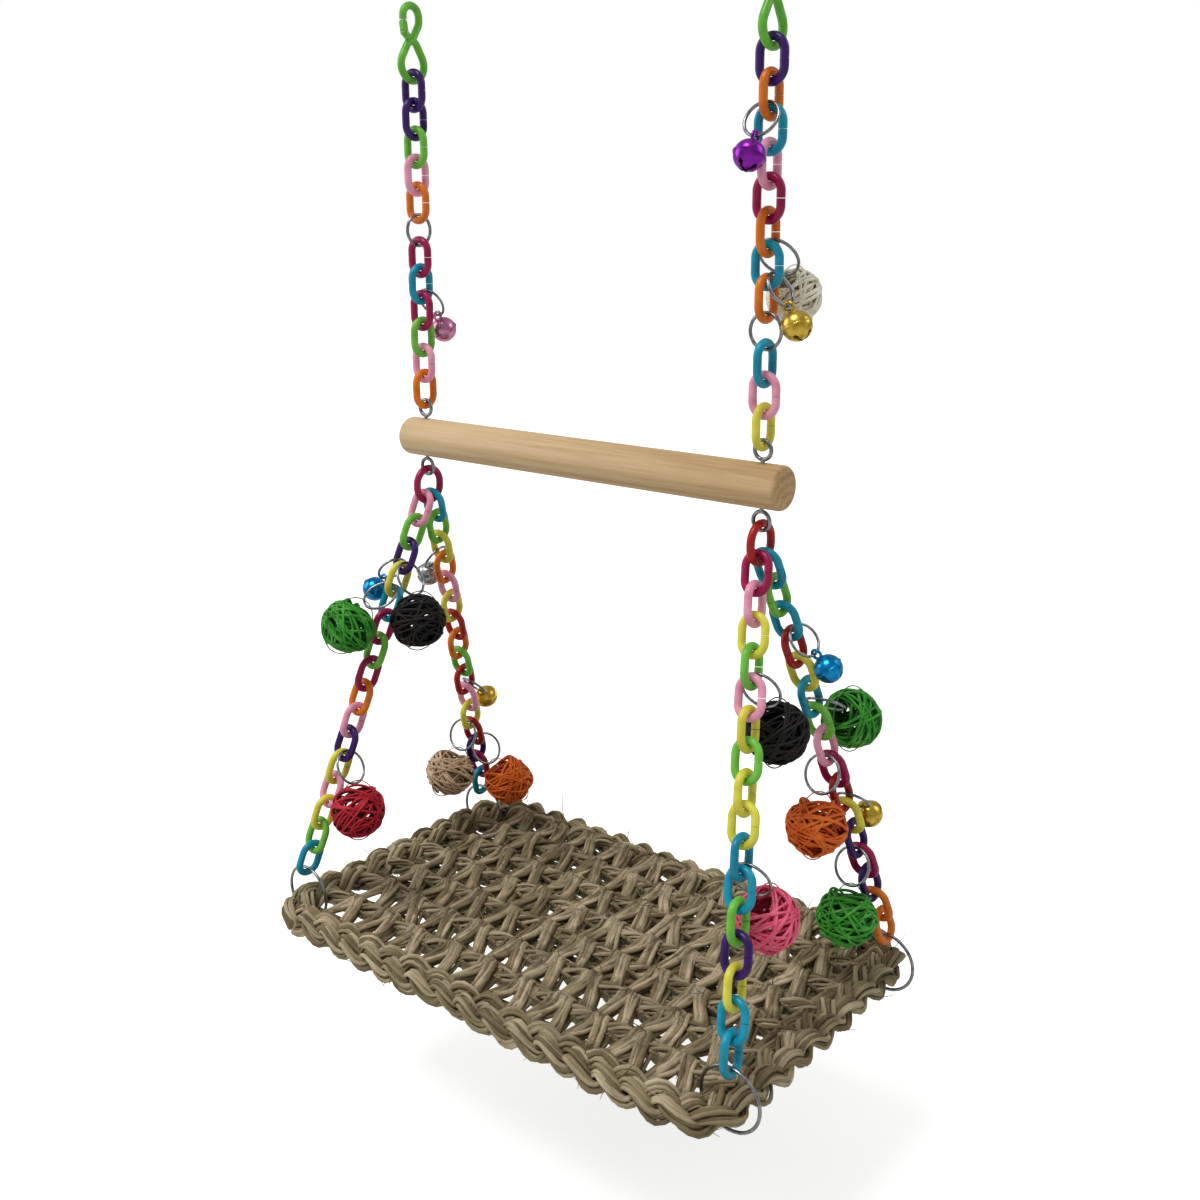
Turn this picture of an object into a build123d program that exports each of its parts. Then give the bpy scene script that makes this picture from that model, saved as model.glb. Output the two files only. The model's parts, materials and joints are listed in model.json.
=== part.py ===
# Bird swing: two plastic clips carry two link chains and a wooden perch.
# Under the perch, four link chains with vine balls and jingle bells carry a seagrass mat.
# Frame: X runs along the perch, Z is up, and the origin lies midway between the clips
# on the line where the cage wire passes under both crowns. Lengths are in millimetres.
import os
from math import asin, cos, radians, sin, sqrt

from build123d import *

# Fits and gaps
running_gap = 0.25        # between two pieces that hook into each other
rest_gap = 0.3            # between a charm and the chain it leans on
pin_gap = 0.05            # screw shanks and gate pins in their holes

# Chain links, open on one side by a slit
link_length = 18.2
link_width = 13.2
link_wire = 3.2
link_slit = 0.2
join_width = 17.0         # the rounder link that gathers a front and a back chain
join_spread = 35          # degrees from straight down to each gathered link

# Plastic clips
hook_bar = 3.2
hook_width = 12.0
hook_throat = 11.0        # from the crown down to the waist
hook_nose = 1.2
hook_eye_length = 19.0
hook_eye_width = 16.0
hook_eye_neck = 3.2
hook_bend = 4.0
hook_shoulder = 7.0       # from the eye's top up to where the spine bends in
gate_width = 2.4
gate_round = 0.6
pivot_inset = 0.6
pivot_rise = 3.2
lug_width = 2.8
lug_thickness = 1.6
fork_gap = 0.2
gate_pin = 1.2
gate_pin_proud = 0.2

# Perch and screw eyes
perch_diameter = 17.0
perch_length = 200.0
perch_round = 1.6
eye_wire = 1.6
eye_radius = 3.6
eye_neck = 1.3
eye_depth = 6.5
eye_inset = 10.0          # from each end of the perch to its screw eyes

# Rings of bent steel wire
ring_wire = 1.4
corner_ring = 27.0        # outside diameter of the rings round the mat's edge
charm_wire = 1.2
ball_ring = 17.0
bell_ring = 14.5

# Vine balls, hoops of split vine wound one over another
ball_diameter = 27.0
pale_ball_diameter = 23.0
strip_width = 2.2
strip_thickness = 0.4
strip_gap = 0.1
hoop_tilts = (48, 26, 48, 34, 48, 20)
hoop_turn = 137.5         # degrees from one hoop to the next

# Jingle bells
bell_diameter = 11.2
bell_wall = 0.7
bell_bead = 0.8
bell_slot = 1.1
bell_slot_length = 7.0
bell_slot_end = 0.9
bell_loop_wire = 1.2
bell_loop_radius = 1.9
bell_loop_sink = 0.4
pellet_diameter = 3.4

# Seagrass mat
mat_length = 255.0
mat_width = 160.0
mat_corner = 20.0
border_width = 15.0
border_height = 13.0
border_outer_round = 5.5
border_inner_round = 1.5
net_columns = 11
net_rows = 7
net_strand = 8.5
net_rim = 1.0
net_gap_round = 3.0

# Colours of the links, from the top of each chain down
left_upper = ["purple", "purple", "green", "pink", "orange", "ring",
              "magenta", "teal", "magenta", "green", "pink", "orange"]
right_upper = ["purple", "orange", "teal", "pink", "magenta", "orange",
               "teal", "orange", "ring", "teal", "pink", "yellow"]
left_front = ["pink", "green", "purple", "yellow", "teal", "magenta", "green", "magenta",
              "orange", "pink", "purple", "yellow", "pink", "yellow", "green", "teal"]
left_back = ["teal", "green", "yellow", "orange", "pink", "yellow", "red", "orange",
             "green", "red", "pink", "yellow", "red", "purple", "magenta", "teal"]
right_front = ["magenta", "pink", "yellow", "green", "pink", "yellow", "green", "yellow",
               "yellow", "teal", "teal", "green", "purple", "yellow", "teal", "teal"]
right_back = ["teal", "green", "teal", "red", "yellow", "teal", "green", "pink",
              "magenta", "red", "yellow", "purple", "magenta", "purple", "orange", "orange"]

# Charms: name, chain, link counted from the top, side of that link
balls = [
    ("ball_green_left", "left_front", 4, -1),
    ("ball_black_left", "left_front", 3, 1),
    ("ball_red", "left_front", 11, 1),
    ("ball_natural", "left_back", 12, 1),
    ("ball_orange_left", "left_back", 13, 1),
    ("ball_black_right", "right_front", 4, 1),
    ("ball_pink", "right_front", 10, 1),
    ("ball_green_right", "right_back", 6, -1),
    ("ball_orange_right", "right_back", 8, 1),
    ("ball_green_low", "right_back", 12, 1),
    ("ball_cream", "right_upper", 6, 1),
]
bells = [
    ("bell_pink", "left_upper", 8, 1),
    ("bell_purple", "right_upper", 2, -1),
    ("bell_gold_top", "right_upper", 7, 1),
    ("bell_blue_left", "left_front", 3, -1),
    ("bell_silver", "left_back", 3, -1),
    ("bell_gold_left", "left_back", 10, -1),
    ("bell_blue_right", "right_back", 3, 1),
    ("bell_gold_right", "right_back", 10, -1),
]
pale_balls = ("ball_cream",)

# Worked out from the sizes above: one link to the next
link_reach = link_length - link_wire
link_pitch = link_reach - link_wire - running_gap
inline_ring = link_reach - link_wire + ring_wire
upper_span = link_reach + (len(left_upper) - 1) * link_pitch
lower_span = link_reach + (len(left_front) - 1) * link_pitch
hook_spacing = perch_length - 2 * eye_inset
side_x = hook_spacing / 2

# Clip outline, in the plane across the cage wire
hook_half = (hook_width - hook_bar) / 2
crown_z = hook_bar / 2 - hook_half
nose_z = crown_z - hook_nose
eye_top_z = -hook_throat - hook_bar / 2
eye_bend = (hook_eye_width - hook_bar) / 2
eye_low_z = eye_top_z - (hook_eye_length - hook_bar) + eye_bend
eye_high_z = eye_top_z - hook_eye_neck
hook_eye_z = eye_low_z - eye_bend
pivot = Vector(0, pivot_inset - hook_half, eye_top_z + pivot_rise)
gate_tip_z = nose_z - rest_gap - gate_width / 2

# Heights down the swing
top_bar_z = hook_eye_z + (hook_bar + link_wire) / 2 + running_gap
perch_link_z = top_bar_z - upper_span
perch_eye_z = perch_link_z + (link_wire + eye_wire) / 2 + running_gap
perch_top_z = perch_eye_z - 2 * eye_radius - eye_neck
perch_z = perch_top_z - perch_diameter / 2
perch_low_z = perch_z - perch_diameter / 2
low_eye_z = perch_z - (perch_eye_z - perch_z)
join_top_z = low_eye_z + (link_wire + eye_wire) / 2 + running_gap
join_bend = (join_width - link_wire) / 2
join_low_z = join_top_z - link_reach + join_bend
gather_radius = join_bend - link_wire - running_gap
gather_y = gather_radius * sin(radians(join_spread))
gather_z = join_low_z - gather_radius * cos(radians(join_spread))

# Net gaps, and the rings that pass through the corner gaps and round the border
net_length = mat_length - 2 * border_width
net_width = mat_width - 2 * border_width
net_height = border_height - 2 * border_inner_round
gap_pitch_x = (net_length - 2 * net_rim + net_strand) / net_columns
gap_pitch_y = (net_width - 2 * net_rim + net_strand) / net_rows
tie_x = (mat_length - border_width) / 2
tie_y = gap_pitch_y * (net_rows - 1) / 2
corner_radius = (corner_ring - ring_wire) / 2
ring_room = corner_radius - ring_wire / 2 - rest_gap - border_inner_round
ring_rise = (sqrt(ring_room**2 - (border_width / 2 - border_inner_round) ** 2)
             - (border_height / 2 - border_inner_round))
tie_span = lower_span - (link_wire + ring_wire) / 2 - running_gap
tie_drop = sqrt(tie_span**2 - (tie_x - side_x) ** 2 - (tie_y - gather_y) ** 2)
mat_z = gather_z - tie_drop - corner_radius - ring_rise


class Chain:
    """A straight run of links: its first bar, its direction and its odd links' bar direction."""

    def __init__(self, start, end):
        self.start = Vector(start)
        self.down = (Vector(end) - self.start).normalized()
        sideways = Vector(1, 0, 0)
        self.odd_bar = (sideways - self.down * sideways.dot(self.down)).normalized()
        inward = Vector(0, -1, 0) if self.down.Y > 0 else Vector(0, 1, 0)
        even_bar = self.down.cross(self.odd_bar)
        self.even_bar = even_bar if even_bar.dot(inward) > 0 else -even_bar

    def bar(self, count):
        return self.odd_bar if count % 2 else self.even_bar

    def centre(self, count):
        return self.start + self.down * (link_reach / 2 + (count - 1) * link_pitch)

    def distance(self, point):
        return (point - self.start).cross(self.down).length

    def place(self, count):
        bar = self.bar(count)
        return Plane(origin=self.centre(count), x_dir=bar, z_dir=self.down.cross(bar))


def lower_chain(side, front):
    start = (side * side_x, front * gather_y, gather_z)
    return Chain(start, (side * tie_x, front * tie_y, gather_z - tie_drop))


def upper_chain(side):
    return Chain((side * side_x, 0, top_bar_z), (side * side_x, 0, perch_link_z))


chains = {
    "left_upper": upper_chain(-1),
    "right_upper": upper_chain(1),
    "left_front": lower_chain(-1, -1),
    "left_back": lower_chain(-1, 1),
    "right_front": lower_chain(1, -1),
    "right_back": lower_chain(1, 1),
}
facing = {
    "left_front": "left_back",
    "left_back": "left_front",
    "right_front": "right_back",
    "right_back": "right_front",
}
colours = {
    "left_upper": left_upper,
    "right_upper": right_upper,
    "left_front": left_front,
    "left_back": left_back,
    "right_front": right_front,
    "right_back": right_back,
}


class Seat:
    """Where a charm hangs: its wire ring in a link, and the ball or bell that leans on the chain."""

    def __init__(self, chain, count, side, ring, drop, radius):
        link = chains[chain]
        out = link.bar(count) * side
        ring_radius = (ring - charm_wire) / 2
        inset = link_width / 2 - link_wire - charm_wire / 2 - running_gap
        straight = (link_length - link_width) / 2
        hang = link.centre(count) + out * inset + link.down * straight
        reach = 2 * ring_radius + drop
        lean = asin((radius + link_width / 2 + rest_gap - inset) / reach)
        aim = link.down * cos(lean) + out * sin(lean)
        self.axis = aim.cross(out).normalized()
        self.pivot = hang + aim * (2 * ring_radius)
        self.ring_place = Plane(origin=hang + aim * ring_radius, x_dir=self.axis,
                                z_dir=aim.cross(self.axis))
        self.place = Plane(origin=hang + aim * reach, x_dir=self.axis, z_dir=-aim)


def ball_size(name):
    return pale_ball_diameter if name in pale_balls else ball_diameter


def ball_seat(name, chain, count, side):
    """A ball's seat, on the other side of its link where it would meet the chain that it faces."""
    radius = ball_size(name) / 2
    drop = radius - strip_thickness - charm_wire / 2 - running_gap
    seat = Seat(chain, count, side, ball_ring, drop, radius)
    room = radius + link_width / 2 + rest_gap
    if chain in facing and chains[facing[chain]].distance(seat.place.origin) < room:
        return ball_seat(name, chain, count, -side)
    return seat


def bell_seat(chain, count, side):
    radius = bell_diameter / 2
    loop_top = (charm_wire + bell_loop_wire) / 2 + running_gap
    drop = 2 * bell_loop_radius - loop_top + radius - bell_loop_sink
    return Seat(chain, count, side, bell_ring, drop, radius + bell_bead / 2)


def placed(shape, places):
    """Copies of one piece, each at its own place."""
    with BuildPart() as group:
        with Locations(places):
            add(shape)
    return group.part


def bent_link(width):
    """A link bent from round bar, lying in XY with its length along Y and its slit in one side."""
    bend = (width - link_wire) / 2
    straight = (link_length - width) / 2
    with BuildPart() as link:
        with BuildLine() as path:
            Line((bend, link_slit / 2), (bend, straight))
            RadiusArc((bend, straight), (-bend, straight), -bend)
            Line((-bend, straight), (-bend, -straight))
            RadiusArc((-bend, -straight), (bend, -straight), -bend)
            Line((bend, -straight), (bend, -link_slit / 2))
        with BuildSketch(Plane(origin=path.line @ 0, z_dir=path.line % 0)):
            Circle(link_wire / 2)
        sweep()
    return link.part


def wire_ring(outside, wire):
    with BuildPart() as ring:
        Torus((outside - wire) / 2, wire / 2)
    return ring.part


def vine_ball(diameter):
    """Hoops wound over each other: the last and largest crosses the top, where the ring passes."""
    radius = diameter / 2
    sag = strip_width**2 / (8 * (radius - len(hoop_tilts) * (strip_thickness + strip_gap)))
    step = strip_thickness + strip_gap + sag
    with BuildPart() as ball:
        with BuildSketch(Plane.YZ):
            Circle(radius)
            Circle(radius - strip_thickness, mode=Mode.SUBTRACT)
        extrude(amount=strip_width / 2, both=True)
        for count, tilt in enumerate(hoop_tilts):
            outside = radius - (count + 1) * step
            turn = radians(count * hoop_turn)
            slope = radians(tilt)
            normal = (sin(slope) * cos(turn), sin(slope) * sin(turn), cos(slope))
            with BuildSketch(Plane(origin=(0, 0, 0), z_dir=normal)):
                Circle(outside)
                Circle(outside - strip_thickness, mode=Mode.SUBTRACT)
            extrude(amount=strip_width / 2, both=True)
    return ball.part


def jingle_bell():
    """A round bell with a rolled seam, crossed slots below, a loop above and a loose pellet."""
    radius = bell_diameter / 2
    pellet_z = pellet_diameter / 2 + bell_wall + running_gap - radius
    slot_ends = [(bell_slot_length / 2, 0), (-bell_slot_length / 2, 0),
                 (0, bell_slot_length / 2), (0, -bell_slot_length / 2)]
    with BuildPart() as bell:
        Sphere(radius)
        Torus(radius, bell_bead / 2)
        with Locations((0, 0, radius - bell_loop_sink + bell_loop_radius)):
            Torus(bell_loop_radius, bell_loop_wire / 2, rotation=(0, 90, 0))
        Sphere(radius - bell_wall, mode=Mode.SUBTRACT)
        with BuildSketch():
            Rectangle(bell_slot_length, bell_slot)
            Rectangle(bell_slot, bell_slot_length)
            with Locations(slot_ends):
                Circle(bell_slot_end)
        extrude(amount=-bell_diameter, mode=Mode.SUBTRACT)
        with Locations((0, 0, pellet_z)):
            Sphere(pellet_diameter / 2)
    return bell.part


def screw_eye():
    """A steel eye standing on the wood at its origin, with its shank pointing down."""
    with BuildPart() as eye:
        with Locations((0, 0, -eye_depth)):
            Cylinder(eye_wire / 2, eye_depth + eye_neck, align=(Align.CENTER, Align.CENTER, Align.MIN))
        with Locations((0, 0, eye_neck + eye_radius)):
            Torus(eye_radius, eye_wire / 2, rotation=(90, 0, 0))
    return eye.part


os.makedirs("parts", exist_ok=True)


def save(part, name):
    part.label = name
    export_step(part, f"parts/{name}.step")


# Clip: a crown over the cage wire, a spine, a pear-shaped eye and a lug for the gate
pear_lean = asin((eye_bend - hook_eye_neck) / (eye_high_z - eye_low_z))
low_side = (eye_bend * cos(pear_lean), eye_low_z + eye_bend * sin(pear_lean))
high_side = (hook_eye_neck * cos(pear_lean), eye_high_z + hook_eye_neck * sin(pear_lean))
low_mirror = (-low_side[0], low_side[1])
high_mirror = (-high_side[0], high_side[1])
shoulder_z = eye_top_z + hook_shoulder
with BuildPart() as hook:
    with BuildLine(Plane.YZ) as arm:
        Line((-hook_half, nose_z), (-hook_half, crown_z))
        ThreePointArc((-hook_half, crown_z), (0, crown_z + hook_half), (hook_half, crown_z))
        FilletPolyline((hook_half, crown_z), (hook_half, shoulder_z), (0, eye_top_z), radius=hook_bend)
    with BuildSketch(Plane(origin=arm.line @ 0, z_dir=arm.line % 0)):
        Circle(hook_bar / 2)
    sweep()
    with BuildLine(Plane.YZ) as pear:
        ThreePointArc(low_mirror, (0, hook_eye_z), low_side)
        Line(low_side, high_side)
        ThreePointArc(high_side, (0, eye_top_z), high_mirror)
        Line(high_mirror, low_mirror)
    with BuildSketch(Plane(origin=pear.line @ 0, z_dir=pear.line % 0)):
        Circle(hook_bar / 2)
    sweep()
    with BuildSketch(Plane.YZ):
        with Locations((0, eye_top_z), (pivot.Y, pivot.Z)):
            Circle(lug_width / 2)
        make_hull()
    extrude(amount=lug_thickness / 2, both=True)
    with BuildSketch(Plane.YZ):
        with Locations((pivot.Y, pivot.Z)):
            Circle(gate_pin / 2 + pin_gap)
    extrude(amount=lug_thickness, both=True, mode=Mode.SUBTRACT)

# Gate: a bar that forks over the lug and closes under the nose
with BuildPart() as gate:
    with BuildSketch(Plane.YZ):
        with Locations((pivot.Y, pivot.Z), (-hook_half, gate_tip_z)):
            Circle(gate_width / 2)
        make_hull()
    extrude(amount=hook_bar / 2, both=True)
    rims = gate.faces().sort_by(Axis.X)[0].edges() + gate.faces().sort_by(Axis.X)[-1].edges()
    fillet(rims, gate_round)
    with BuildSketch(Plane.YZ):
        with Locations((pivot.Y, pivot.Z)):
            Circle(lug_width / 2 + rest_gap)
    extrude(amount=lug_thickness / 2 + fork_gap, both=True, mode=Mode.SUBTRACT)
    with BuildSketch(Plane.YZ):
        with Locations((pivot.Y, pivot.Z)):
            Circle(gate_pin / 2 + pin_gap)
    extrude(amount=hook_bar, both=True, mode=Mode.SUBTRACT)

with BuildPart() as gate_pins:
    with Locations((-side_x, pivot.Y, pivot.Z), (side_x, pivot.Y, pivot.Z)):
        Cylinder(gate_pin / 2, hook_bar + 2 * gate_pin_proud, rotation=(0, 90, 0))

for name, side in (("left", -1), ("right", 1)):
    save(placed(hook.part, [Location((side * side_x, 0, 0))]), f"{name}_hook")
    save(placed(gate.part, [Location((side * side_x, 0, 0))]), f"{name}_gate")
save(gate_pins.part, "gate_pins")

# Upper chains: the first links ride on the clips, the rest is one run of links a side
link = bent_link(link_width)
small_ring = wire_ring(inline_ring + ring_wire, ring_wire)
save(placed(link, [chains["left_upper"].place(1), chains["right_upper"].place(1)]), "top_links")
for name in ("left_upper", "right_upper"):
    run = list(enumerate(colours[name], start=1))[1:]
    for colour in dict.fromkeys(shade for count, shade in run):
        shape = small_ring if colour == "ring" else link
        places = [chains[name].place(count) for count, shade in run if shade == colour]
        save(placed(shape, places), f"{name}_{colour}" if colour == "ring" else f"{name}_links_{colour}")

# Perch with pilot holes, and the screw eyes above and below it
with BuildPart() as perch:
    with BuildSketch(Plane.YZ.offset(-perch_length / 2)):
        with Locations((0, perch_z)):
            Circle(perch_diameter / 2)
    extrude(amount=perch_length)
    fillet(perch.edges().filter_by(GeomType.CIRCLE), perch_round)
    with Locations((-side_x, 0, perch_top_z), (side_x, 0, perch_top_z)):
        Cylinder(eye_wire / 2 + pin_gap, eye_depth + pin_gap,
                 align=(Align.CENTER, Align.CENTER, Align.MAX), mode=Mode.SUBTRACT)
    with Locations((-side_x, 0, perch_low_z), (side_x, 0, perch_low_z)):
        Cylinder(eye_wire / 2 + pin_gap, eye_depth + pin_gap,
                 align=(Align.CENTER, Align.CENTER, Align.MIN), mode=Mode.SUBTRACT)
save(perch.part, "perch")
eye = screw_eye()
save(placed(eye, [Location((side * side_x, 0, perch_top_z)) for side in (-1, 1)]), "upper_screw_eyes")
under = [Plane(origin=(side * side_x, 0, perch_low_z), z_dir=(0, 0, -1)) for side in (-1, 1)]
save(placed(eye, under), "lower_screw_eyes")

# Lower chains: a gathering link a side, four runs of links and the rings round the mat's border
join = bent_link(join_width)
for name, side in (("left", -1), ("right", 1)):
    middle = (side * side_x, 0, join_top_z - link_reach / 2)
    save(placed(join, [Plane(origin=middle, x_dir=(0, 1, 0), z_dir=(1, 0, 0))]), f"{name}_join_link")
lower_names = ("left_front", "left_back", "right_front", "right_back")
lower_links = [(name, count, shade) for name in lower_names
               for count, shade in enumerate(colours[name], start=1)]
for colour in dict.fromkeys(shade for name, count, shade in lower_links):
    places = [chains[name].place(count) for name, count, shade in lower_links if shade == colour]
    save(placed(link, places), f"lower_links_{colour}")
ring_centre_z = mat_z + ring_rise
ring_places = [Plane(origin=(side * tie_x, front * tie_y, ring_centre_z), x_dir=(1, 0, 0), z_dir=(0, 1, 0))
               for side in (-1, 1) for front in (-1, 1)]
save(placed(wire_ring(corner_ring, ring_wire), ring_places), "corner_rings")

# Seagrass mat: a rounded border and the open net inside it
with BuildPart() as mat_border:
    with BuildSketch(Plane.XY.offset(mat_z - border_height / 2)):
        RectangleRounded(mat_length, mat_width, mat_corner)
        RectangleRounded(net_length, net_width, mat_corner - border_width, mode=Mode.SUBTRACT)
    extrude(amount=border_height)
    flats = [mat_border.faces().sort_by(Axis.Z)[0], mat_border.faces().sort_by(Axis.Z)[-1]]
    outer_rims = [edge for flat in flats for edge in flat.outer_wire().edges()]
    fillet(outer_rims, border_outer_round)
    flats = [mat_border.faces().filter_by(Plane.XY).sort_by(Axis.Z)[i] for i in (0, -1)]
    inner_rims = [edge for flat in flats for edge in flat.inner_wires()[0].edges()]
    fillet(inner_rims, border_inner_round)
save(mat_border.part, "mat_border")
with BuildPart() as mat_net:
    with BuildSketch(Plane.XY.offset(mat_z - net_height / 2)):
        RectangleRounded(net_length, net_width, mat_corner - border_width)
        with GridLocations(gap_pitch_x, gap_pitch_y, net_columns, net_rows):
            RectangleRounded(gap_pitch_x - net_strand, gap_pitch_y - net_strand, net_gap_round,
                             mode=Mode.SUBTRACT)
    extrude(amount=net_height)
save(mat_net.part, "mat_net")

# Charms: each ball or bell on its own wire ring
ball_seats = {row[0]: ball_seat(*row) for row in balls}
bell_seats = {row[0]: bell_seat(*row[1:]) for row in bells}
charm_rows = [(row[1], ball_seats[row[0]], ball_ring) for row in balls]
charm_rows += [(row[1], bell_seats[row[0]], bell_ring) for row in bells]
ring_carriers = {"left_upper": ("left_upper",), "right_upper": ("right_upper",), "lower": lower_names}
for carrier, carried in ring_carriers.items():
    with BuildPart() as charm_rings:
        for chain, seat, outside in charm_rows:
            if chain in carried:
                with Locations(seat.ring_place):
                    Torus((outside - charm_wire) / 2, charm_wire / 2)
    save(charm_rings.part, f"{carrier}_charm_rings")
ball_shapes = {size: vine_ball(size) for size in (ball_diameter, pale_ball_diameter)}
for name, seat in ball_seats.items():
    save(placed(ball_shapes[ball_size(name)], [seat.place]), name)
bell = jingle_bell()
for name, seat in bell_seats.items():
    save(placed(bell, [seat.place]), name)
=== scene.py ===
# %% [markdown]
# # Dressing a bird swing
# The swing hangs from two plastic clips. Chains of coloured links carry a wooden perch and, under it, a
# seagrass mat, with vine balls and jingle bells along the way. The rigid pieces come in finished from CAD
# and only need their surfaces. The mat and the balls are wound from plant fibre, so they are built here.

# %% Load the frame
import json
import random
from itertools import product
from math import cos, pi, radians, sin, sqrt

import bmesh
import bpy
from mathutils import Matrix, Vector, noise


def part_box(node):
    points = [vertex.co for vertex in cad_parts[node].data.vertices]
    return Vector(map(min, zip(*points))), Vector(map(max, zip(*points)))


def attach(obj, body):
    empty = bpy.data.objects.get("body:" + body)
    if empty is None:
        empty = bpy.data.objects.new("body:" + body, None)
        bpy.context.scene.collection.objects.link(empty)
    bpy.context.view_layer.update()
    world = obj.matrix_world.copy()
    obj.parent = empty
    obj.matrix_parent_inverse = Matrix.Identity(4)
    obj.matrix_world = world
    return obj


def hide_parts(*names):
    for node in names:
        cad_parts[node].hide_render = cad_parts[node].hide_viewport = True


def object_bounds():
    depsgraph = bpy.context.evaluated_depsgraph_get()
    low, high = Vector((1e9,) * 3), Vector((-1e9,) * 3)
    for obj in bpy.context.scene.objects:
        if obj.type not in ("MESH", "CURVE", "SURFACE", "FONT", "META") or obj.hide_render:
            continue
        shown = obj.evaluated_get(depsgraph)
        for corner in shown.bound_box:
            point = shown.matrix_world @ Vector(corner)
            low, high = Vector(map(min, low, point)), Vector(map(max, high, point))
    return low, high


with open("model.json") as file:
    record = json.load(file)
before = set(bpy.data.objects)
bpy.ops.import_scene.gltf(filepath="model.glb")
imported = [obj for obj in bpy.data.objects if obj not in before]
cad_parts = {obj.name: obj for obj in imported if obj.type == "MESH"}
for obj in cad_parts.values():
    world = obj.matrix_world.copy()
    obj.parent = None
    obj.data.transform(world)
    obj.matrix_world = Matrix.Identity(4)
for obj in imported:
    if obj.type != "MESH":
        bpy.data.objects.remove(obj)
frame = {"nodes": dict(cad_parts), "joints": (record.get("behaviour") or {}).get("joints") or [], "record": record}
nodes = frame["nodes"]
cad_low, cad_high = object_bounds()
MM = 0.001
print("CAD box in mm:", [round((b - a) / MM) for a, b in zip(cad_low, cad_high)])

# %% [markdown]
# ## Camera
# The photo looks down a little on the right end of the perch. The camera is placed by a turn, a height
# angle and a distance from the middle of the perch, which is easy to correct against the photo. The lens
# is given as the photo's focal length in pixels, because that is what a fit to the photo measures.

# %% Camera
PHOTO_PIXELS = 1200
FOCAL_PIXELS = 1326
SENSOR_MM = 36.0
turn, height, roll = radians(39.4), radians(13.9), radians(-0.27)
distance, aside, above = 545 * MM, 13.8 * MM, -34.6 * MM
shift_pixels = (11, -57)

perch_low, perch_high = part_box("perch")
perch_middle = (perch_low + perch_high) / 2
back = Vector((sin(turn) * cos(height), -cos(turn) * cos(height), sin(height)))
level = Vector((cos(turn), sin(turn), 0))
right = level * cos(roll) + back.cross(level) * sin(roll)
up = back.cross(right)
lens = bpy.data.cameras.new("photo_camera")
lens.sensor_width = SENSOR_MM
lens.lens = FOCAL_PIXELS * SENSOR_MM / PHOTO_PIXELS
lens.shift_x = -shift_pixels[0] / PHOTO_PIXELS
lens.shift_y = shift_pixels[1] / PHOTO_PIXELS
lens.clip_start = 10 * MM
camera = bpy.data.objects.new("photo_camera", lens)
camera.matrix_world = Matrix((right, up, back)).transposed().to_4x4()
camera.location = perch_middle + back * distance + right * aside + up * above
bpy.context.scene.collection.objects.link(camera)
bpy.context.scene.camera = camera
bpy.context.scene.view_settings.view_transform = "Standard"
print("camera at", [round(c, 3) for c in camera.location], "lens", round(lens.lens, 1))

# %% [markdown]
# ## Two helpers for materials
# Colours are written as the hex values that an image editor shows and turned to the linear values that
# shaders use. One function adds a node, sets its options and fills its inputs: a plain value is set on
# the socket, and an output of another node is linked to it.

# %% Colour and node helpers
def linear(hex_colour):
    """Linear red, green, blue and alpha for a colour such as "#A8977A"."""
    channels = [int(hex_colour[i:i + 2], 16) / 255 for i in (1, 3, 5)]
    return [c / 12.92 if c <= 0.04045 else ((c + 0.055) / 1.055) ** 2.4 for c in channels] + [1.0]


def add(material, kind, inputs=None, stops=(), **options):
    """A new node with its options, inputs and, for a colour ramp, its stops."""
    node = material.node_tree.nodes.new(kind)
    for name, value in options.items():
        setattr(node, name, value)
    for name, value in (inputs or {}).items():
        if isinstance(value, bpy.types.NodeSocket):
            material.node_tree.links.new(value, node.inputs[name])
        else:
            node.inputs[name].default_value = value
    if stops:
        elements = node.color_ramp.elements
        while len(elements) < len(stops):
            elements.new(stops[len(elements)][0])
        for element, (place, hex_colour) in zip(elements, stops):
            element.position, element.color = place, linear(hex_colour)
    return node


def new_material(name):
    material = bpy.data.materials.new(name)
    material.use_nodes = True
    material.node_tree.nodes.clear()
    return material


def surface(material, **inputs):
    shader = add(material, "ShaderNodeBsdfPrincipled", inputs)
    add(material, "ShaderNodeOutputMaterial", {"Surface": shader.outputs["BSDF"]})
    return material


print("white is", linear("#FFFFFF"), "and middle grey", [round(c, 2) for c in linear("#808080")])

# %% [markdown]
# ## Moulded plastic
# The links and the clips are injection moulded. Such plastic is smooth with a soft gloss, a little
# light gets into it, and its colour is almost even: a faint cloudiness and a fine orange peel, drawn here
# at a millimetre or two so that it shows, keep it from looking like paint on a computer.

# %% Plastic
def moulded_plastic(name, hex_colour, deep_colour):
    material = new_material(name)
    place = add(material, "ShaderNodeTexCoord").outputs["Object"]
    cloud = add(material, "ShaderNodeTexNoise", {"Vector": place, "Scale": 1 / (7 * MM), "Detail": 2.0})
    colour = add(material, "ShaderNodeValToRGB", {"Fac": cloud.outputs["Fac"]},
                 [(0.3, deep_colour), (0.62, hex_colour)])
    peel = add(material, "ShaderNodeTexNoise", {"Vector": place, "Scale": 1 / (1.3 * MM), "Detail": 1.0})
    bump = add(material, "ShaderNodeBump",
               {"Height": peel.outputs["Fac"], "Strength": 0.06, "Distance": 0.3 * MM})
    gloss = add(material, "ShaderNodeMapRange",
                {"Value": cloud.outputs["Fac"], "To Min": 0.24, "To Max": 0.4})
    return surface(material, **{"Base Color": colour.outputs["Color"], "Roughness": gloss.outputs["Result"],
                                "IOR": 1.49, "Specular IOR Level": 0.35, "Normal": bump.outputs["Normal"]})


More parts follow.
